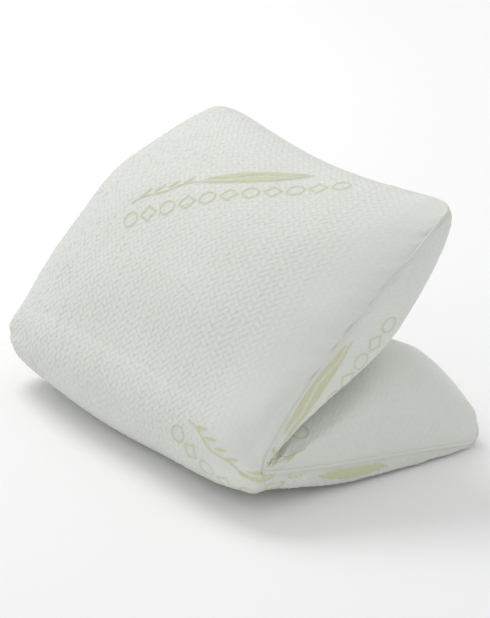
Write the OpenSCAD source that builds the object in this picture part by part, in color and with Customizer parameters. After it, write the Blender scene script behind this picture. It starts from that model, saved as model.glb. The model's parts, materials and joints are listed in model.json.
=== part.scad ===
// Bed pillow lying folded across its length.
// The lower half rests on the floor and the upper half turns about the outermost
// line of the fold. Origin: centre of the footprint, on the floor.
// +X points from the fold to the open end, Y runs along the fold, +Z is up.

/* [Pillow size] */
// Width along the fold
pillow_w = 480; // [400:10:560]
// Length of the half that lies on the floor
lower_len = 308; // [250:2:360]
// Length of the raised half
upper_len = 350; // [290:5:410]

/* [Fold] */
// Angle between the two halves as it lies
fold_angle = 46; // [40:0.5:60]
// Radius of the rounded fold at mid width, half the loft
nose_r = 70; // [45:1:78]
// How far the fold bulges past the tips of the side seams
nose_setback = 30; // [15:1:50]

/* [Fullness] */
// Extra fullness of the raised half's outer face
upper_hump = 26; // [10:1:40]
// How far the lower half's outer face is pressed flat on the floor
lower_press = 16; // [8:1:24]
// Fullness of the lower half's inner face
lower_full = 70; // [40:1:80]
// Fullness of the raised half's inner face
upper_full = 86; // [40:1:95]
// Squareness of the fullness across the width
side_n = 2.65; // [2:0.05:4]
// Steepness of the fullness at the side seams
side_m = 0.3; // [0.25:0.01:0.6]
// Squareness of the fullness towards the open ends
end_n = 2.8; // [2:0.1:4]
// Steepness of the fullness at the open ends
end_m = 0.52; // [0.4:0.01:0.7]

/* [Open ends] */
// Height of the lower corners' seam
corner_z = 9; // [7:1:20]
// Height of the middle of the lower end seam
end_z = 54; // [40:1:75]
// Hollow of the lower end seam, as a share of its length
lower_hollow = 0.057; // [0:0.005:0.1]
// Hollow of the raised end seam, as a share of its length
upper_hollow = 0.095; // [0:0.005:0.12]
// Droop of the raised half towards its open end
upper_droop = 16; // [0:1:30]
// Extra droop of the raised half's far corner
far_droop = 20; // [0:1:35]

/* [Cloth] */
// Half thickness left at the seams
edge_half = 6; // [5:0.5:9]
// Thickness of the knitted cover
cover_t = 2; // [1.5:0.1:3]
// Thickness of the inner bag's cloth
liner_t = 1; // [0.8:0.1:1.5]
// Radius of the seam's bead
seam_r = 4; // [3:0.5:5]

/* [Zip] */
// Length of the zip in the lower end seam
zip_len = 260; // [200:10:280]
// Height of each tape
tape_h = 10; // [8:0.5:12]
// Thickness of a tape
tape_t = 0.8; // [0.6:0.1:1]
// Radius of each coil
coil_r = 1.4; // [1.2:0.1:1.8]
// Height of the slider's body
slider_h = 8; // [7:0.5:10]
// Length of the slider's body
slider_len = 10; // [9:0.5:13]
// Length of the pull tab
pull_len = 18; // [14:1:22]

/* [Hidden] */

// Half of the wedge kept free between the halves, seen from the line they turn about
part_angle = 5;
// Angle between each inner face and the middle of the fold, at the crease
inner_angle = 8;
// Least gap between two cloths, and between a moving piece and its neighbour
cloth_gap = 0.5;
run_gap = 0.4;
// Stations across the width, along a half, round half of the nose and round a bead
across = 15;
along = 10;
round_n = 6;
bead_n = 8;
// Power that keeps the lower end seam straight over the zip
straight_n = 6;
// Share of the seam's half thickness on the inner side
inner_share = 0.8;
// Share of a cloth's depth that is kept where it meets the free wedge
wedge_share = 0.25;
// Length over which the inner faces round off into the crease
crease_ease = 12;

half_w = pillow_w / 2;
half_fold = fold_angle / 2;
// Covers stop short of the bead by this much
bead_room = 2 * seam_r + 1.5;
// The inner bag and the fill leave out this many stations at each edge
drop = 1;
// Centre of the footprint, measured from the side tips of the fold
tip_x = (nose_r - nose_setback) / 2 - (lower_len) / 2;
// Line the halves turn about: the outermost line of the fold
pivot_x = tip_x + nose_setback - nose_r * cos(half_fold);
pivot_z = nose_r - nose_r * sin(half_fold);
// Depths of the inner bag and of the fill below the cover's face
liner_d = cover_t + cloth_gap;
fill_d = liner_d + liner_t + cloth_gap;

cover_color = [0.90, 0.91, 0.89];
liner_color = [0.96, 0.96, 0.95];
fill_color = [0.93, 0.90, 0.80];
tape_color = [0.86, 0.87, 0.85];
metal_color = [0.75, 0.75, 0.76];

// Fullness across the width and along a half
function g(b) = pow(max(0, 1 - pow(abs(b), side_n)), side_m);
function f(a) = pow(max(0, 1 - pow(a, end_n)), end_m);
// Smaller of two lengths, with the corner between them rounded
function ease(x, y, k) =
    let(h = max(0, min(1, 0.5 + 0.5 * (y - x) / k)))
    y * (1 - h) + x * h - k * h * (1 - h);

// Distance of the middle sheet's fold from the pivot, and its place
function fold_d(b) = nose_r - nose_setback * (1 - g(b)) / cos(half_fold);
function fold_x(b) = pivot_x + fold_d(b) * cos(half_fold);
function fold_z(b) = pivot_z + fold_d(b) * sin(half_fold);
// Distance from the fold along each half, less a margin m at the open end
function run(a, b, up, m) =
    let(len = up ? upper_len : lower_len,
        share = up ? upper_hollow * (1 - b * b)
                   : lower_hollow * (1 - pow(b, straight_n)))
    (len * (1 - share * a * a) - m) * a;
// Directions along a half and towards its outer face
function dir(up) = up ? [cos(fold_angle), sin(fold_angle)] : [1, 0];
function out(up) = up ? [-sin(fold_angle), cos(fold_angle)] : [0, -1];
// Outward shift of the middle sheet from its flat plane
function end_height(b) =
    corner_z + (end_z - corner_z) * (1 - pow(b, straight_n));
function shift(a, b, up) = up
    ? -(upper_droop + far_droop * (b + 1) / 2) * a * a
    : (fold_z(b) - end_height(b)) * a * a;

// Fullness outwards, at depth d below the cover's face
function nose_at(b, d) = edge_half + (nose_r - edge_half) * g(b) - d;
function full_out(a, b, up, d) =
    let(r = nose_r + (up ? upper_hump : lower_press) * sin(180 * a))
    edge_half + (r - edge_half) * f(a) * g(b) - d;
// Fullness inwards, kept to this half's side of the free wedge
function wedge_in(a, b, up, m) =
    (fold_d(b) * cos(half_fold) + run(a, b, up, m)) * tan(half_fold - part_angle)
    - fold_d(b) * sin(half_fold) + shift(a, b, up);
function full_in(a, b, up, d, m) =
    let(most = up ? upper_full : lower_full,
        bulge = edge_half * inner_share + most * f(a) * g(b),
        slope = 0.5 + run(a, b, up, 0) * tan(half_fold - inner_angle),
        free = ease(bulge, slope, crease_ease) - d * min(1, 4 * a))
    min(free, wedge_in(a, b, up, m) - wedge_share * d);

// Point p along a half and t outwards from its sheet, kept d above the floor
function place(p, t, b, up, d) =
    let(q = [fold_x(b), fold_z(b)] + dir(up) * p + out(up) * t)
    up ? q : [q[0], max(d, q[1])];
function sheet_point(a, b, up, t, d, m) =
    place(run(a, b, up, m), shift(a, b, up) + t, b, up, d);

// Points round one half of the nose, from the free wedge to the outer face
function nose_start(b) =
    let(r = 0.9 * nose_at(b, 0))
    asin(min(1, fold_d(b) * sin(part_angle) / r)) - part_angle
    + asin(min(1, cloth_gap / r));
function nose_point(i, b, up, d) =
    let(s0 = nose_start(b),
        s = s0 + (90 - half_fold - s0) * i / round_n,
        turn = 180 + half_fold + (up ? -s : s),
        q = [fold_x(b), fold_z(b)] + nose_at(b, d) * [cos(turn), sin(turn)])
    up ? q : [q[0], max(d, q[1])];

// A row over the outer face, a row over the inner face, and the inner row drawn
// on across the free wedge, so that it has as many points as the outer one
function row_out(b, up, d, last) = concat(
    [for (i = [0:round_n - 1]) nose_point(i, b, up, d)],
    [for (i = [0:last]) let(a = sin(90 * i / along))
        sheet_point(a, b, up, full_out(a, b, up, d), d, bead_room)]);
function row_in(b, up, d, last) = [
    for (i = [0:last]) let(a = sin(90 * i / along))
        sheet_point(a, b, up, -full_in(a, b, up, d, bead_room), d, bead_room)];
function row_closed(b, up, d, last) =
    let(row = row_in(b, up, d, last), start = nose_point(0, b, up, d))
    concat([for (i = [1:round_n])
        start + (row[0] - start) * i / (round_n + 1)], row);

// Position of station j as a share of half the width. The halves run opposite
// ways, so that the faces of both come out facing outwards.
function station(j, up) = (up ? 1 : -1) * sin(-90 + 180 * j / across);

// Closed solid between two sets of rows; the first row is at station first
module between(rows_a, rows_b, up, first) {
    n = len(rows_a[0]);
    k = len(rows_a);
    pts = [for (rows = [rows_a, rows_b]) for (j = [0:k - 1]) for (q = rows[j])
           [q[0], station(first + j, up) * (half_w - bead_room), q[1]]];
    // Corner i of row j in set s
    function id(s, j, i) = (s * k + j) * n + i;
    // Two triangles from four corners
    function two(p, q, r, s) = [[p, q, r], [p, r, s]];
    faces = [
        for (j = [0:k - 2]) for (i = [0:n - 2]) for (face = concat(
            two(id(0, j, i), id(0, j + 1, i), id(0, j + 1, i + 1), id(0, j, i + 1)),
            two(id(1, j, i), id(1, j, i + 1), id(1, j + 1, i + 1), id(1, j + 1, i))))
            face,
        for (j = [0:k - 2]) for (face = concat(
            two(id(0, j, 0), id(1, j, 0), id(1, j + 1, 0), id(0, j + 1, 0)),
            two(id(0, j, n - 1), id(0, j + 1, n - 1),
                id(1, j + 1, n - 1), id(1, j, n - 1))))
            face,
        // Split so that no triangle lies along the free wedge, where rows are straight
        for (i = [0:n - 2]) for (face = concat(
            two(id(0, 0, i + 1), id(1, 0, i + 1), id(1, 0, i), id(0, 0, i)),
            two(id(1, k - 1, i), id(1, k - 1, i + 1),
                id(0, k - 1, i + 1), id(0, k - 1, i))))
            face];
    polyhedron(pts, faces, convexity = 6);
}

function outs(up, d, cut) = [for (j = [cut:across - cut])
    row_out(station(j, up), up, d, along - cut)];
function ins(up, d, cut) = [for (j = [cut:across - cut])
    row_in(station(j, up), up, d, along - cut)];
function closed_ins(up, d, cut) = [for (j = [cut:across - cut])
    row_closed(station(j, up), up, d, along - cut)];

// Sheet of cloth t thick over the outer or the inner face, d below the cover's
// face, that leaves out cut stations at each edge
module outer_cloth(up, d, t, cut) {
    between(outs(up, d, cut), outs(up, d + t, cut), up, cut);
}
module inner_cloth(up, d, t, cut) {
    between(ins(up, d + t, cut), ins(up, d, cut), up, cut);
}
// Closed cushion whose face lies at depth d below the cover's face
module cushion(up, d, cut) {
    between(outs(up, d, cut), closed_ins(up, d, cut), up, cut);
}

// Bead: a round tube along a path of points, each with its direction
module bead(path, r) {
    k = len(path);
    pts = [for (j = [0:k - 1])
        let(t = path[min(j + 1, k - 1)] - path[max(j - 1, 0)],
            side = cross(t, [0.2, 0.1, 1]),
            u = side / norm(side),
            w = cross(u, t) / norm(t))
        for (i = [0:bead_n - 1])
            path[j] + r * (cos(360 * i / bead_n) * u + sin(360 * i / bead_n) * w)];
    sides = [for (j = [0:k - 2]) for (i = [0:bead_n - 1])
        let(a = j * bead_n + i, b = j * bead_n + (i + 1) % bead_n)
        for (face = [[a, b, b + bead_n], [a, b + bead_n, a + bead_n]]) face];
    caps = [for (i = [1:bead_n - 2]) for (face = [[0, i + 1, i],
        [(k - 1) * bead_n, (k - 1) * bead_n + i, (k - 1) * bead_n + i + 1]]) face];
    polyhedron(pts, concat(sides, caps), convexity = 8);
}
// Points of the bead on the sheet's edge; side is -1 near and 1 far
bead_start = 0.15;
function bead_point(a, b, up) =
    let(q = sheet_point(a, b, up, 0, seam_r, seam_r))
    [q[0], b * (half_w - seam_r), q[1]];
function side_path(side, up) = [for (i = [0:along])
    bead_point(bead_start + (1 - bead_start) * sin(90 * i / along), side, up)];
function end_path(b0, b1, n, up) = [for (i = [1:n])
    bead_point(1, b0 + (b1 - b0) * (1 - cos(180 * i / n)) / 2, up)];

// Zip: where its tapes stand, and the fronts of tapes, coils and slider
zip_z = end_height(0);
tape_x = sheet_point(1, 0, false, 0, 0, bead_room)[0] + cloth_gap;
coil_x = tape_x + tape_t + coil_r;
plate_x = coil_x + coil_r + run_gap;
plate_t = 1.4;
pin_r = 0.7;
pin_x = plate_x + plate_t + run_gap + pin_r;
stop_len = 3;
// Faces of the far and near stops. The tape runs on past the near one, under the
// pull tab when the zip is open.
far_stop = zip_len / 2 - stop_len;
near_stop = -zip_len / 2 + pull_len - slider_len / 2 + run_gap;
// The slider waits closed, against the far stop
slider_y = far_stop - run_gap - slider_len / 2;
// Share of half the width where the bead meets the zip
zip_share = (zip_len / 2 + 2) / (half_w - seam_r);

module cover_outer(up) {
    color(cover_color) outer_cloth(up, 0, cover_t, 0);
}
module cover_inner(up) {
    color(cover_color) inner_cloth(up, 0, cover_t, 0);
}
module liner_outer(up) {
    color(liner_color) outer_cloth(up, liner_d, liner_t, drop);
}
module liner_inner(up) {
    color(liner_color) inner_cloth(up, liner_d, liner_t, drop);
}
module fill(up) {
    color(fill_color) cushion(up, fill_d, drop);
}

module cover_outer_lower() {
    cover_outer(false);
}
module cover_inner_lower() {
    cover_inner(false);
}
module liner_outer_lower() {
    liner_outer(false);
}
module liner_inner_lower() {
    liner_inner(false);
}
module fill_lower() {
    fill(false);
}
module cover_outer_upper() {
    cover_outer(true);
}
module cover_inner_upper() {
    cover_inner(true);
}
module liner_outer_upper() {
    liner_outer(true);
}
module liner_inner_upper() {
    liner_inner(true);
}
module fill_upper() {
    fill(true);
}

module seam_near() {
    color(cover_color)
        bead(concat(side_path(-1, false), end_path(-1, -zip_share, 6, false)), seam_r);
}
module seam_far() {
    color(cover_color)
        bead(concat(side_path(1, false), end_path(1, zip_share, 6, false)), seam_r);
}
module seam_upper() {
    near = side_path(-1, true);
    far = side_path(1, true);
    color(cover_color)
        bead(concat(near, end_path(-1, 1, 16, true),
                    [for (i = [along - 1:-1:0]) far[i]]), seam_r);
}

// One tape or coil; s is 1 above the coils' meeting line and -1 below
module tape(s) {
    color(tape_color)
        translate([tape_x + tape_t / 2, 0, zip_z + s * (tape_h / 2 + run_gap)])
        cube([tape_t, zip_len, tape_h], center = true);
}
module coil(s) {
    color(tape_color)
        translate([coil_x, (far_stop + near_stop) / 2,
                   zip_z + s * (coil_r + run_gap / 2)])
        rotate([90, 0, 0])
        cylinder(r = coil_r, h = far_stop - near_stop - 2 * cloth_gap,
                 center = true, $fn = 24);
}
module zip_tape_upper() {
    tape(1);
}
module zip_tape_lower() {
    tape(-1);
}
module zip_coil_upper() {
    coil(1);
}
module zip_coil_lower() {
    coil(-1);
}
// Stop across both coils, with its middle at y
module stop(y) {
    color(metal_color)
        translate([coil_x, y, zip_z])
        cube([2 * coil_r, stop_len - cloth_gap, 4 * coil_r + run_gap], center = true);
}
module zip_stop_near() {
    stop(near_stop - stop_len / 2);
}
module zip_stop_far() {
    stop(far_stop + stop_len / 2);
}

// Front plate with a flange above and below the coils and an arch for the pull
module zip_slider() {
    flange_z = 2 * coil_r + run_gap / 2 + run_gap;
    flange_t = max(0.8, slider_h / 2 - flange_z);
    back_x = tape_x + tape_t + run_gap;
    arch_half = 3.6;
    arch_w = 1.8;
    post = 1;
    bar_x = pin_x + pin_r + run_gap;
    color(metal_color) translate([0, slider_y, zip_z]) {
        translate([plate_x, -slider_len / 2, -flange_z - flange_t])
            cube([plate_t, slider_len, 2 * (flange_z + flange_t)]);
        for (s = [0, 1]) mirror([0, 0, s])
            translate([back_x, -slider_len / 2, flange_z])
            cube([plate_x - back_x + plate_t / 2, slider_len, flange_t]);
        for (s = [0, 1]) mirror([0, s, 0])
            translate([plate_x + plate_t / 2, arch_half, -arch_w / 2])
            cube([bar_x - plate_x - plate_t / 2 + post, post, arch_w]);
        translate([bar_x, -arch_half - post, -arch_w / 2])
            cube([post, 2 * (arch_half + post), arch_w]);
    }
}
// Flat tab on a pin under the arch, lying back along the closed zip
module zip_pull() {
    arm_z = 1.8;
    arm_w = 1.2;
    arm_len = 7;
    tab_t = 1;
    color(metal_color) translate([pin_x, slider_y, zip_z]) {
        cylinder(r = pin_r, h = 2 * (arm_z + arm_w), center = true, $fn = 24);
        for (s = [0, 1]) mirror([0, 0, s])
            translate([-tab_t / 2, -arm_len, arm_z])
            cube([tab_t, arm_len, arm_w]);
        translate([-tab_t / 2, -pull_len, -arm_z - arm_w])
            cube([tab_t, pull_len - arm_len + 0.5, 2 * (arm_z + arm_w)]);
    }
}

cover_outer_lower();
cover_inner_lower();
seam_near();
seam_far();
liner_outer_lower();
liner_inner_lower();
fill_lower();
zip_tape_upper();
zip_tape_lower();
zip_coil_upper();
zip_coil_lower();
zip_stop_near();
zip_stop_far();
zip_slider();
zip_pull();
cover_outer_upper();
cover_inner_upper();
seam_upper();
liner_outer_upper();
liner_inner_upper();
fill_upper();
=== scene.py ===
# %% [markdown]
# A bed pillow lying folded across its length.
# It could be simulated as cloth under pressure, but the fold, its tips and the
# seams have to sit exactly round the imported bodies, so the cover is built as two
# sheets of fine mesh laid over the same folded form, then given its weave,
# puckers and creases as real relief.

# %% Frame
import json
import math

import bpy
import numpy as np
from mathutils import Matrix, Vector


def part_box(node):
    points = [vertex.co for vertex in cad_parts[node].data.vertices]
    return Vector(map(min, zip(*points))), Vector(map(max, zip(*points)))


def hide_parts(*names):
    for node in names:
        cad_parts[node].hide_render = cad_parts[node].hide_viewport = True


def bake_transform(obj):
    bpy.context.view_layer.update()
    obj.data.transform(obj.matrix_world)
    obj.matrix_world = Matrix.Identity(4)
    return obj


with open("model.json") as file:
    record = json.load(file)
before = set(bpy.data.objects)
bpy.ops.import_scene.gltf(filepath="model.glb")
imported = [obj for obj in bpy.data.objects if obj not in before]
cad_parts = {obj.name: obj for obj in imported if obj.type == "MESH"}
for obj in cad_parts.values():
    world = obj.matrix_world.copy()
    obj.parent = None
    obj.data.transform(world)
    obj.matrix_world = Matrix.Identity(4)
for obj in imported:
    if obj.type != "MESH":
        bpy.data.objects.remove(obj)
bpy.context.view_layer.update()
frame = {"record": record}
record = frame["record"]
joints = {j["name"]: j for j in record["behaviour"]["joints"]}
PIVOT = np.array(joints["fold"]["pos_m"])

# %% [markdown]
# The folded form is described once, as a middle sheet for each half and the
# fullness on either side of it. `a` runs from the fold (0) to an open end (1) and
# `b` from the near side (-1) to the far side (1). Everything is in metres.

# %% Folded form
FOLD = math.radians(46)
HALF_FOLD = FOLD / 2
NOSE_R = 0.070
NOSE_SETBACK = 0.030
LOWER_LEN, UPPER_LEN = 0.308, 0.350
HALF_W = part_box("seam_upper")[1].y
EDGE = 0.0015
TIP_R = 0.0015
OPEN_WEDGE = math.radians(4)
ACROSS_POWER, ACROSS_ROOT = 2.65, 0.30
ALONG_POWER, ALONG_ROOT = 2.8, 0.52
FLOOR_ROUND = 0.006


def fullness_across(b, flank=0.0):
    """Fullness over the width; flank rounds the near side off more gently."""
    return np.clip(1 - np.abs(b) ** ACROSS_POWER, 0, 1) ** (ACROSS_ROOT + flank)


def fullness_along(a):
    return np.clip(1 - a**ALONG_POWER, 0, 1) ** ALONG_ROOT


def smooth(x, low, high):
    t = np.clip((x - low) / (high - low), 0, 1)
    return t * t * (3 - 2 * t)


def soft_min(x, y, k):
    h = np.clip(0.5 + 0.5 * (y - x) / k, 0, 1)
    return y * (1 - h) + x * h - k * h * (1 - h)


def above_floor(z):
    """Heights with the part below the floor pressed flat."""
    return -soft_min(-z, np.zeros_like(z), FLOOR_ROUND)


def fold_centre(b):
    """Where the middle sheet folds, at each place across the width."""
    d = NOSE_R - NOSE_SETBACK * (1 - fullness_across(b)) / math.cos(HALF_FOLD)
    return PIVOT[0] + d * math.cos(HALF_FOLD), PIVOT[2] + d * math.sin(HALF_FOLD)


ZIP_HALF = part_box("zip_tape_upper")[1].y
ZIP_Z = (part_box("zip_tape_upper")[0].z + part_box("zip_tape_lower")[1].z) / 2
ZIP_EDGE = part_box("zip_tape_upper")[1].z - ZIP_Z - 0.001
ZIP_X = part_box("zip_tape_upper")[1].x + 0.0004
END_Z, CORNER_Z = ZIP_Z, 0.007
UPPER_DIP, LOWER_DIP = 0.095, 0.057
UPPER_WRAP, LOWER_WRAP = 0.016, 0.014
DROOP, FAR_DROOP = 0.016, 0.010


def at_zip(b):
    y = np.abs(b) * HALF_W
    return 1 - smooth(y, ZIP_HALF - 0.004, ZIP_HALF + 0.010)


def run(a, b, up):
    """Distance from the fold along a half."""
    if up:
        return UPPER_LEN * (1 - UPPER_DIP * (1 - b * b) * a * a) * a
    x, _ = fold_centre(b)
    plain = LOWER_LEN * (1 - LOWER_DIP * (1 - b**6) * a * a)
    zipped = ZIP_X - x
    return (plain + (zipped - plain) * at_zip(b) * a**3) * a


def sheet_shift(a, b, up):
    """How far the middle sheet moves outwards from its flat plane. The near seam
    sits further out, so the inner face wraps round the side."""
    near = np.clip(-b, 0, 1) ** 8
    if up:
        wrap = UPPER_WRAP * near * np.sin(np.pi * a**0.62)
        return wrap - (DROOP + FAR_DROOP * (b + 1)) * a * a
    _, z = fold_centre(b)
    wrap = LOWER_WRAP * near * np.sin(np.pi * a**0.8)
    return wrap + (z - (CORNER_Z + (END_Z - CORNER_Z) * (1 - b**6))) * a * a


def edge_gap(a, b, up):
    if up:
        return np.full_like(a * b, EDGE)
    return EDGE + (ZIP_EDGE - EDGE) * at_zip(b) * smooth(a, 0.90, 1.0)


UPPER_HUMP, LOWER_HUMP = 0.026, 0.016
UPPER_INNER, LOWER_INNER = 0.086, 0.070
FLANK = 0.32


def full_out(a, b, up):
    r = NOSE_R + (UPPER_HUMP if up else LOWER_HUMP) * np.sin(np.pi * a)
    gap = TIP_R + (edge_gap(a, b, up) - TIP_R) * smooth(a, 0, 0.05)
    flank = FLANK * smooth(-b, 0, 1) * smooth(a, 0.0, 0.4) if up else 0.0
    return gap + (r - gap) * fullness_along(a) * fullness_across(b, flank)


def inner_across(b):
    """The inner faces stand up steeply behind the near seam."""
    near = np.clip(1 - np.abs(b) ** 8, 0, 1) ** 0.42
    return np.where(b < 0, near, fullness_across(b))


def full_in(a, b, up):
    most = UPPER_INNER if up else LOWER_INNER
    gap = edge_gap(a, b, up)
    bulge = gap + most * fullness_along(a) * inner_across(b)
    slope = 0.0004 + run(a, b, up) * math.tan(HALF_FOLD - OPEN_WEDGE)
    return soft_min(bulge, slope, 0.012)


CORNER_CUT, FAR_NARROW, FAR_SHORT = 0.030, 0.0245, 0.0188


def on_sheet(a, b, up, t):
    """The point t outwards from the middle sheet; inwards when t is negative."""
    x, z = fold_centre(b)
    corner = CORNER_CUT * np.abs(b) ** 12 * a**12
    far = np.clip(b, 0, 1)
    narrow = FAR_NARROW * far**2 * a**2 if up else 0.0
    short = FAR_SHORT * far**4 if up else 0.0
    p, t = run(a, b, up) * (1 - corner) * (1 - short), t + sheet_shift(a, b, up)
    y = b * HALF_W * (1 - corner - narrow)
    if up:
        return np.stack([x + p * math.cos(FOLD) - t * math.sin(FOLD), y,
                         z + p * math.sin(FOLD) + t * math.cos(FOLD)], -1)
    return np.stack([x + p, y, above_floor(z - t)], -1)


def on_nose(c, b):
    """The point a share c of the way round the fold, from the lower face up."""
    x, z = fold_centre(b)
    r = TIP_R + (NOSE_R - TIP_R) * fullness_across(b)
    angle = -math.pi / 2 - c * (math.pi - FOLD)
    return np.stack([x + r * np.cos(angle), b * HALF_W, z + r * np.sin(angle)], -1)


# %% [markdown]
# A sheet of quads is laid over each face. The rows are spaced evenly along the
# cloth, so the weave can be cut into the mesh at one scale everywhere.

# %% Sheets
QUAD = 0.0014


def even(values, length_at, count):
    """Values respaced so that length_at grows evenly."""
    return np.interp(np.linspace(0, length_at[-1], count), length_at, values)


def lengths(points, axis):
    step = np.linalg.norm(np.diff(points, axis=axis), axis=-1)
    zero = np.zeros_like(np.take(step, [0], axis=axis))
    return np.concatenate([zero, np.cumsum(step, axis=axis)], axis=axis)


def outer_point(u, b):
    """u is -2..-1 along the lower face, -1..1 round the fold, 1..2 above."""
    lower = on_sheet(np.clip(-u - 1, 0, 1), b, False, full_out(np.clip(-u - 1, 0, 1), b, False))
    upper = on_sheet(np.clip(u - 1, 0, 1), b, True, full_out(np.clip(u - 1, 0, 1), b, True))
    nose = on_nose(np.clip(u / 2 + 0.5, 0, 1), b)
    pick = u[..., None]
    return np.where(pick < -1, lower, np.where(pick > 1, upper, nose))


def inner_point(u, b):
    """u is -1..0 along the lower half and 0..1 along the raised one."""
    a = np.clip(np.abs(u), 0, 1)
    lower = on_sheet(a, b, False, -full_in(a, b, False))
    upper = on_sheet(a, b, True, -full_in(a, b, True))
    return np.where(u[..., None] < 0, lower, upper)


def grid_of(point, u_low, u_high):
    """Even rows and columns over a face."""
    u = np.linspace(u_low, u_high, 1201)
    b = np.sin(np.linspace(-1, 1, 801) * math.pi / 2)
    along = lengths(point(u, np.full_like(u, 0.0)), 0)
    across = lengths(point(np.full_like(b, u_high * 0.75), b), 0)
    nu, nb = int(along[-1] / QUAD) + 1, int(across[-1] / QUAD) + 1
    us, bs = even(u, along, nu), even(b, across, nb)
    return us, bs


def build_sheet(name, point, u_low, u_high):
    us, bs = grid_of(point, u_low, u_high)
    uu, bb = np.meshgrid(us, bs)
    xyz = point(uu, bb)
    s = lengths(xyz, 1)
    s = s - np.take_along_axis(s, np.full((len(bs), 1), np.argmin(np.abs(us))), 1)
    t = lengths(xyz, 0)
    t = t - t[len(bs) // 2]
    bpy.ops.object.select_all(action="DESELECT")
    bpy.ops.mesh.primitive_grid_add(
        x_subdivisions=len(us) - 1, y_subdivisions=len(bs) - 1, size=1)
    obj = bpy.context.object
    obj.name = name
    print(name, xyz.shape, "cloth", round(float(np.ptp(s[len(bs) // 2])), 3), "by",
          round(float(np.ptp(t[:, len(us) // 2])), 3))
    return obj, xyz, s, t, uu, bb


outer, outer_xyz, outer_s, outer_t, outer_u, outer_b = build_sheet(
    "cover_outer", outer_point, -2.0, 2.0)
inner, inner_xyz, inner_s, inner_t, *_ = build_sheet(
    "cover_inner", inner_point, -1.0, 1.0)

# %% [markdown]
# The weave stands up from the cloth, so it needs the outward direction at every
# point. On an even grid that is the cross product of the steps along and across.

# %% Normals of a sheet
def sheet_normals(xyz, flip):
    du = np.gradient(xyz, axis=1)
    dv = np.gradient(xyz, axis=0)
    n = np.cross(du, dv) * flip
    return n / np.maximum(np.linalg.norm(n, axis=-1, keepdims=True), 1e-12)


outer_n = sheet_normals(outer_xyz, -1)
inner_n = sheet_normals(inner_xyz, 1)
print("outer normal at the raised top", outer_n[outer_n.shape[0] // 2, -200].round(2))

# %% [markdown]
# The knit is a herringbone of short padded bars, twice as long as they are wide,
# with narrow grooves between them.

# %% Weave
BAR_W = 0.0064
GRAIN = math.radians(52)


def herringbone(s, t):
    """Height of the weave, 0 in the grooves to 1 on the bars."""
    p = (s * math.sin(GRAIN) - t * math.cos(GRAIN)) / BAR_W
    q = (s * math.cos(GRAIN) + t * math.sin(GRAIN)) / BAR_W
    p, q = p + 0.12 * np.sin(q * 0.45 + 1.3), q + 0.12 * np.sin(p * 0.4 + 0.4)
    i, j = np.floor(p), np.floor(q)
    k = np.mod(i - j, 4)
    flat = k < 1.5
    along = np.where(flat, p - i - (k < 0.5), q - j - (k > 2.5))
    across = np.where(flat, q - j, p - i) - 0.5
    dome = np.clip(1 - np.abs(along) ** 9, 0, 1) * np.clip(1 - np.abs(2 * across) ** 4.2, 0, 1)
    return dome ** 0.5


# %% [markdown]
# Puckers follow the seams, and long soft creases run out of the fold's tips.

# %% Noise made of waves
rng = np.random.default_rng(7)


def waves(x, y, size, count=14):
    total = np.zeros_like(x)
    for _ in range(count):
        turn, phase = rng.uniform(0, 2 * math.pi, 2)
        k = 2 * math.pi / (size * rng.uniform(0.7, 1.5))
        total += np.sin(k * (x * math.cos(turn) + y * math.sin(turn)) + phase)
    return total / math.sqrt(count / 2)


# %% [markdown]
# Pale green woven motifs: a row of rings and lozenges under a leaf and a sprig.
# They are distances to simple shapes on the cloth, so they bend with it.

# %% Motif shapes
STROKE = 0.0017
RING, STEP = 0.0095, 0.0255


def ink(distance):
    """1 inside a shape's edge, 0 outside it."""
    return 1 - smooth(distance, -0.0006, 0.0010)


def row_of_rings(u, v, first, last):
    k = np.clip(np.round(u / STEP), round(first / STEP), round(last / STEP))
    du = u - k * STEP
    ring = np.abs(np.hypot(du, v) - RING) - STROKE / 2
    lozenge = np.abs((np.abs(du) + np.abs(v)) * 0.72 - RING * 0.80) - STROKE / 2
    return ink(np.where(np.mod(k, 2) < 0.5, ring, lozenge))


def leaf(u, v, cu, cv, half_long, half_wide, turn=0.0):
    x = (u - cu) * math.cos(turn) + (v - cv) * math.sin(turn)
    y = (v - cv) * math.cos(turn) - (u - cu) * math.sin(turn)
    return np.abs(y) - half_wide * (1 - np.clip(np.abs(x) / half_long, 0, 2) ** 2.4)


def one_motif(u, v):
    """u runs along the row of rings and v from it to the leaf."""
    rings = row_of_rings(u, v, 0.012, 0.262)
    blade = leaf(u, v, 0.152, 0.034, 0.070, 0.0105)
    rib = np.abs(v - 0.034 - 0.002 * np.sin(u * 90)) - 0.0012
    filled = ink(blade) * (1 - ink(rib))
    stem_v = 0.024 + 0.12 * u + 0.002 * np.sin(u * 110)
    stem = ink(np.maximum(np.abs(v - stem_v) - 0.0009, np.abs(u - 0.041) - 0.042))
    twigs = np.zeros_like(u)
    for cu, cv in ((0.018, 0.033), (0.036, 0.035), (0.054, 0.037), (0.072, 0.039)):
        twigs = np.maximum(twigs, ink(leaf(u, v, cu, cv, 0.0085, 0.0018, 0.62)))
    return np.maximum.reduce([rings, filled, stem, twigs])


def placed(s, t, s0, t0, heading):
    """The motif with its row starting at (s0, t0) and running along heading."""
    c, d = math.cos(heading), math.sin(heading)
    ds, dt = s - s0, t - t0
    return one_motif(ds * c + dt * d, ds * -d + dt * c)


def outer_motifs(s, t, side):
    first = placed(s, t * 0.95, 0.219, 0.092, math.atan2(-0.749, 0.663))
    second = placed(s, t * 0.95, 0.031, -0.136, math.atan2(-0.83, -0.55))
    near = np.where(t < 0, side, 1.0)
    low_leaf = ink(leaf(-s, near, 0.140, 0.013, 0.048, 0.0085))
    return np.maximum.reduce([first, second, low_leaf])


def inner_motifs(s, t, side):
    near = np.where(t < 0, side, 1.0)
    return one_motif(s + 0.050, 0.046 - near)


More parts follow.
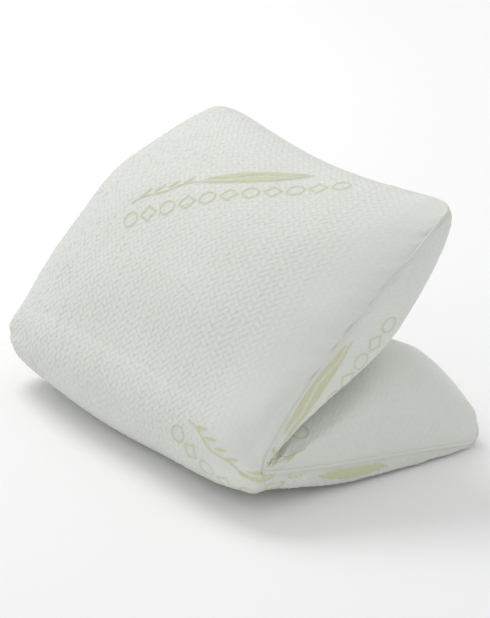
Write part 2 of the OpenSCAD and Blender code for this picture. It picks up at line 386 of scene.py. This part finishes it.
# %% [markdown]
# All the relief could be a bump in the material, but then the outline would stay
# smooth. Moving the points themselves lets the bars and creases show at the edge.

# %% Relief of both sheets
WEAVE_H, PUCKER_H, LUMP_H, FAN_H, MOTIF_H = 0.0016, 0.0012, 0.0014, 0.0022, 0.0005
INNER_WEAVE = 0.40
PUCKER_REACH, FAN_REACH = 0.016, 0.045


def to_edge(s, t):
    """Distance to the nearest seam, measured along the cloth."""
    side = np.minimum(t - t[:1], t[-1:] - t)
    end = np.minimum(s - s[:, :1], s[:, -1:] - s)
    return np.minimum(side, end), side, end


def relief(s, t, strength, motif_mask):
    """Height of the cloth's relief, with its weave (the mask for the painted shade in the
    grooves) and its motifs on their own.
    """
    edge, side, end = to_edge(s, t)
    weave = herringbone(s, t) * smooth(edge, 0.002, 0.012)
    pucker = np.exp(-side / PUCKER_REACH) * waves(s, t * 0.1, 0.030)
    pucker = pucker + np.exp(-end / PUCKER_REACH) * waves(s * 0.1, t, 0.034)
    pucker = pucker * smooth(edge, 0.0, 0.006)
    lumps = waves(s, t, 0.16) * smooth(edge, 0.0, 0.06)
    from_tip, angle = np.hypot(s, side), np.arctan2(side, s)
    fan = np.sin(13 * angle) * np.exp(-from_tip / FAN_REACH) * smooth(from_tip, 0.006, 0.03)
    mark = motif_mask(s, t, side)
    weave = weave * (1 - 0.75 * mark)
    height = (WEAVE_H * strength * weave + PUCKER_H * pucker + LUMP_H * lumps
              + FAN_H * fan - MOTIF_H * mark)
    # The second value is the mask for the painted groove shade: 1 on the bars, lower in the
    # grooves.
    return height, 1 - strength * (1 - weave), mark


def write_mesh(obj, xyz, s, t, offset):
    """Put a grid's points in place, with UVs measured along the cloth."""
    mesh = obj.data
    assert len(mesh.vertices) == xyz.shape[0] * xyz.shape[1]
    mesh.vertices.foreach_set("co", xyz.reshape(-1, 3).astype(np.float32).ravel())
    uv = np.stack([s + offset, t], -1).reshape(-1, 2)
    loops = np.zeros(len(mesh.loops), np.int32)
    mesh.loops.foreach_get("vertex_index", loops)
    layer = mesh.uv_layers.active or mesh.uv_layers.new(name="UVMap")
    layer.data.foreach_set("uv", uv[loops].astype(np.float32).ravel())
    mesh.update()


stretched = smooth(-outer_b, 0.55, 0.90) * smooth(outer_u, -1.0, 0.2)
outer_height, outer_groove_shade, outer_mark = relief(
    outer_s, outer_t, 1 - 0.7 * stretched, outer_motifs)
inner_height, inner_groove_shade, inner_mark = relief(inner_s, inner_t, INNER_WEAVE, inner_motifs)
outer_xyz = outer_xyz + outer_n * outer_height[..., None]
inner_xyz = inner_xyz + inner_n * inner_height[..., None]
outer_xyz[..., 2] = np.maximum(outer_xyz[..., 2], 0.0)
inner_xyz[..., 2] = np.maximum(inner_xyz[..., 2], 0.0)
write_mesh(outer, outer_xyz, outer_s, outer_t, 0.0)
write_mesh(inner, inner_xyz, inner_s, inner_t, 2.0)


def write_value(obj, name, values):
    """One number for each point of the mesh, for its material to read."""
    layer = obj.data.attributes.new(name, "FLOAT", "POINT")
    layer.data.foreach_set("value", values.astype(np.float32).ravel())


# The weave values are the mask for the painted shade in the grooves; the motif values mark the
# woven motifs.
for obj, weave, mark in ((outer, outer_groove_shade, outer_mark), (inner, inner_groove_shade, inner_mark)):
    write_value(obj, "weave", weave)
    write_value(obj, "motif", mark)
    print(obj.name, "share under motifs", round(float(mark.mean()), 4))

# %% [markdown]
# A grid does not know which side is out, so one face is compared with the outward
# direction and all of them are turned over if it looks the wrong way.

# %% Which way the faces look
for obj, normals in ((outer, outer_n), (inner, inner_n)):
    mesh = obj.data
    face = mesh.polygons[len(mesh.polygons) // 2]
    want = normals.reshape(-1, 3)[face.vertices[0]]
    if np.dot(np.array(face.normal), want) < 0:
        mesh.flip_normals()
        print(obj.name, "faces turned over")
    bpy.ops.object.select_all(action="DESELECT")
    obj.select_set(True)
    bpy.context.view_layer.objects.active = obj
    bpy.ops.object.shade_smooth()

# %% [markdown]
# The bead: a thin tube where the two sheets are sewn together.

# %% Bead path
def edge_line(side, up, count):
    a = np.linspace(0, 1, count)
    return on_sheet(a, np.full_like(a, side), up, 0)


def end_line(b0, b1, up, count):
    b = np.linspace(b0, b1, count)
    return on_sheet(np.ones_like(b), b, up, 0)


SIDE_STEPS, END_STEPS = 240, 60
near_low, near_up = (edge_line(-1.0, up, SIDE_STEPS) for up in (False, True))
far_low, far_up = (edge_line(1.0, up, SIDE_STEPS) for up in (False, True))
end_up = end_line(-1, 1, True, SIDE_STEPS)
zip_share = (ZIP_HALF + 0.004) / HALF_W
path = np.concatenate([
    end_line(-zip_share, -1, False, END_STEPS)[:-1],
    near_low[::-1][:-1], near_up[:-1], end_up[:-1],
    far_up[::-1][:-1], far_low[:-1], end_line(1, zip_share, False, END_STEPS)])
for _ in range(3):
    path[1:-1] = 0.25 * path[:-2] + 0.5 * path[1:-1] + 0.25 * path[2:]
spacing = lengths(path, 0)
BEAD_STEP = 0.003
even_path = np.stack([even(path[:, k], spacing, int(spacing[-1] / BEAD_STEP))
                      for k in range(3)], -1)
print("seam length", round(float(spacing[-1]), 3))

# %% Bead mesh
BEAD_R, BEAD_N = 0.0022, 10
tangent = np.gradient(even_path, axis=0)
tangent /= np.linalg.norm(tangent, axis=1, keepdims=True)
side = np.cross(tangent, [0.21, 0.12, 0.97])
side /= np.linalg.norm(side, axis=1, keepdims=True)
other = np.cross(tangent, side)
turns = np.linspace(0, 2 * math.pi, BEAD_N + 1)
rings = (even_path[:, None] + BEAD_R * (np.cos(turns)[None, :, None] * side[:, None]
                                        + np.sin(turns)[None, :, None] * other[:, None]))
bpy.ops.object.select_all(action="DESELECT")
bpy.ops.mesh.primitive_grid_add(x_subdivisions=BEAD_N, y_subdivisions=len(even_path) - 1, size=1)
bead = bpy.context.object
bead.name = "cover_seam"
write_mesh(bead, rings, np.repeat(turns[None] * BEAD_R, len(even_path), 0),
           np.repeat(np.linspace(0, spacing[-1], len(even_path))[:, None], BEAD_N + 1, 1), 4.0)
bpy.ops.object.shade_smooth()

# %% [markdown]
# Materials. One small class keeps the shader sums readable.

# %% Shader maths
class Sum:
    """A socket or a number that can be added, multiplied or taken from a number."""

    def __init__(self, tree, value):
        self.tree, self.value = tree, value

    def node(self, kind, *inputs, out=0, **settings):
        made = self.tree.nodes.new(kind)
        for key, val in settings.items():
            setattr(made, key, val)
        for k, val in enumerate(inputs):
            val = val.value if isinstance(val, Sum) else val
            if val is None:
                continue
            if isinstance(val, bpy.types.NodeSocket):
                self.tree.links.new(val, made.inputs[k])
            else:
                made.inputs[k].default_value = val
        return Sum(self.tree, made.outputs[out])

    def math(self, operation, *others):
        return self.node("ShaderNodeMath", self, *others, operation=operation)

    def __add__(self, o): return self.math("ADD", o)
    def __rsub__(self, o): return Sum(self.tree, o).math("SUBTRACT", self)
    def __mul__(self, o): return self.math("MULTIPLY", o)


def new_material(name, roughness=0.9, sheen=0.3):
    mat = bpy.data.materials.new(name)
    mat.use_nodes = True
    tree = mat.node_tree
    shader = tree.nodes["Principled BSDF"]
    shader.inputs["Roughness"].default_value = roughness
    shader.inputs["Sheen Weight"].default_value = sheen
    shader.inputs["Sheen Roughness"].default_value = 0.5
    return mat, tree, shader

# %% [markdown]
# The knit takes the painted shade in its grooves and its motifs from the numbers stored
# at each point, so colour and relief always agree. Only the fuzz of the yarn is left to a bump.

# %% Knit
knit, tree, shader = new_material("cover_knit")
one = Sum(tree, 1.0)
uv = one.node("ShaderNodeUVMap", uv_map="UVMap")
fine = one.node("ShaderNodeTexNoise", uv, None, 900.0, 3.0)
broad = one.node("ShaderNodeTexNoise", uv, None, 14.0, 2.0)
tint = fine * 0.35 + broad * 0.65
cloth = one.node("ShaderNodeMix", tint, None, None, None, None, None,
                 (0.70, 0.72, 0.67, 1), (0.79, 0.81, 0.765, 1), out=2, data_type="RGBA")
weave = one.node("ShaderNodeAttribute", out=2, attribute_name="weave")
motif = one.node("ShaderNodeAttribute", out=2, attribute_name="motif")
# Painted shade: the cloth colour is darkened in the weave's grooves.
grooves = one.node("ShaderNodeMix", (1 - weave) * 0.34, None, None, None, None, None,
                   cloth, (0.56, 0.59, 0.53, 1), out=2, data_type="RGBA")
colour = one.node("ShaderNodeMix", motif * 0.85, None, None, None, None, None,
                  grooves, (0.60, 0.62, 0.38, 1), out=2, data_type="RGBA")
tree.links.new(colour.value, shader.inputs["Base Color"])
bump = one.node("ShaderNodeBump", 0.35, 0.0006, 1.0, fine)
tree.links.new(bump.value, shader.inputs["Normal"])
for obj in (outer, inner):
    obj.data.materials.clear()
    obj.data.materials.append(knit)

# %% [markdown]
# The bead is the same yarn sewn tight, so it gets stripes across its length.

# %% Seam cloth
seam, tree, shader = new_material("seam_thread")
one = Sum(tree, 1.0)
uv = one.node("ShaderNodeUVMap", uv_map="UVMap")
stitch = one.node("ShaderNodeTexWave", uv, 420.0, 0.4, bands_direction="Y")
colour = one.node("ShaderNodeMix", stitch, None, None, None, None, None,
                  (0.66, 0.68, 0.62, 1), (0.78, 0.80, 0.75, 1), out=2, data_type="RGBA")
tree.links.new(colour.value, shader.inputs["Base Color"])
bump = one.node("ShaderNodeBump", 0.5, 0.0005, 1.0, stitch)
tree.links.new(bump.value, shader.inputs["Normal"])
bead.data.materials.clear()
bead.data.materials.append(seam)

# %% [markdown]
# The zip keeps its imported shapes. Tapes get a fine twill, the coils a smooth pale
# plastic, and the slider, its tab and the stops a light speckled enamel.

# %% Zip finishes
def speckled(name, dark, light, scale, roughness, sheen, bump_m, metallic=0.0):
    made, tree, shader = new_material(name, roughness, sheen)
    shader.inputs["Metallic"].default_value = metallic
    one = Sum(tree, 1.0)
    place = one.node("ShaderNodeTexCoord", out=3)
    noise = one.node("ShaderNodeTexNoise", place, None, scale, 4.0)
    colour = one.node("ShaderNodeMix", noise, None, None, None, None, None,
                      dark, light, out=2, data_type="RGBA")
    tree.links.new(colour.value, shader.inputs["Base Color"])
    rough = noise * 0.2 + (roughness - 0.1)
    tree.links.new(rough.value, shader.inputs["Roughness"])
    bump = one.node("ShaderNodeBump", 0.4, bump_m, 1.0, noise)
    tree.links.new(bump.value, shader.inputs["Normal"])
    return made


tape = speckled("zip_tape", (0.66, 0.68, 0.64, 1), (0.78, 0.80, 0.76, 1), 1800, 0.85, 0.3, 0.0004)
coil = speckled("zip_coil", (0.72, 0.73, 0.70, 1), (0.80, 0.81, 0.78, 1), 600, 0.45, 0.0, 0.0001)
enamel = speckled("zip_metal", (0.62, 0.63, 0.62, 1), (0.78, 0.79, 0.78, 1),
                  260, 0.35, 0.0, 0.0001, 0.3)
FINISHES = {"zip_tape_upper": tape, "zip_tape_lower": tape,
            "zip_coil_upper": coil, "zip_coil_lower": coil,
            "zip_stop_near": enamel, "zip_stop_far": enamel,
            "zip_slider": enamel, "zip_pull": enamel}
for node_name, finish in FINISHES.items():
    mesh = bpy.data.objects[node_name].data
    mesh.materials.clear()
    mesh.materials.append(finish)
print("zip pieces finished", len(FINISHES))

# %% [markdown]
# The cover and its seam are one cloth over both halves. The imported pieces they stand
# for are hidden.

# %% Bodies and the pieces they stand for
for obj in (outer, inner, bead):
    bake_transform(obj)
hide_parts("cover_outer_lower", "cover_outer_upper", "liner_outer_lower",
            "liner_outer_upper", "fill_lower", "fill_upper")
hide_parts("cover_inner_lower", "cover_inner_upper", "liner_inner_lower",
            "liner_inner_upper")
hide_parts("seam_near", "seam_far", "seam_upper")

# %% [markdown]
# A plain pale floor, one soft lamp above and behind, and even light all round.

# %% Floor, light and camera
bpy.ops.mesh.primitive_plane_add(size=30)
floor = bpy.context.object
floor.name = "floor"
floor_mat, tree, shader = new_material("floor_white", 0.8, 0.0)
shader.inputs["Base Color"].default_value = (0.97, 0.97, 0.97, 1)
floor.data.materials.append(floor_mat)

VIEW_AZ, VIEW_EL, VIEW_DIST = math.radians(36.21), math.radians(23.10), 4.065
right = np.array([math.cos(VIEW_AZ), -math.sin(VIEW_AZ), 0])
ahead = np.array([math.sin(VIEW_AZ) * math.cos(VIEW_EL),
                  math.cos(VIEW_AZ) * math.cos(VIEW_EL), -math.sin(VIEW_EL)])
up = np.cross(right, ahead)
tip = on_sheet(np.array(0.0), np.array(-1.0), True, np.array(0.0))
AIM_RIGHT, AIM_UP, LENS = -0.0186, 0.1771, 218.4
aim = tip + right * AIM_RIGHT + up * AIM_UP
camera_data = bpy.data.cameras.new("camera")
camera = bpy.data.objects.new("camera", camera_data)
bpy.context.scene.collection.objects.link(camera)
camera_data.lens, camera_data.sensor_width = LENS, 36
camera.location = aim - ahead * VIEW_DIST
camera.rotation_mode = "QUATERNION"
camera.rotation_quaternion = Vector(ahead).to_track_quat("-Z", "Y")
bpy.context.scene.camera = camera


def area_light(name, towards, distance, size, power):
    """A square lamp looking at the middle of the pillow."""
    data = bpy.data.lights.new(name, "AREA")
    data.size, data.energy = size, power
    light = bpy.data.objects.new(name, data)
    bpy.context.scene.collection.objects.link(light)
    place = np.array([0, 0, 0.15]) + np.array(towards) / np.linalg.norm(towards) * distance
    light.location = place
    light.rotation_mode = "QUATERNION"
    light.rotation_quaternion = (-Vector(towards)).to_track_quat("-Z", "Y")
    print(name, "lamp of", power, "W at", np.round(place, 2))


LAMP_AWAY, LAMP_SIZE, LAMP_POWER, SKY = 3.0, 1.4, 34, 0.70
ahead_flat = np.array([math.sin(VIEW_AZ), math.cos(VIEW_AZ), 0])
area_light("key", np.array([0, 0, 0.8]) - right * 0.35 + ahead_flat * 0.45,
           LAMP_AWAY, LAMP_SIZE, LAMP_POWER)
world = bpy.data.worlds.new("studio")
bpy.context.scene.world = world
world.use_nodes = True
world.node_tree.nodes["Background"].inputs[0].default_value = (1, 1, 1, 1)
world.node_tree.nodes["Background"].inputs[1].default_value = SKY
bpy.context.scene.view_settings.view_transform = "Standard"
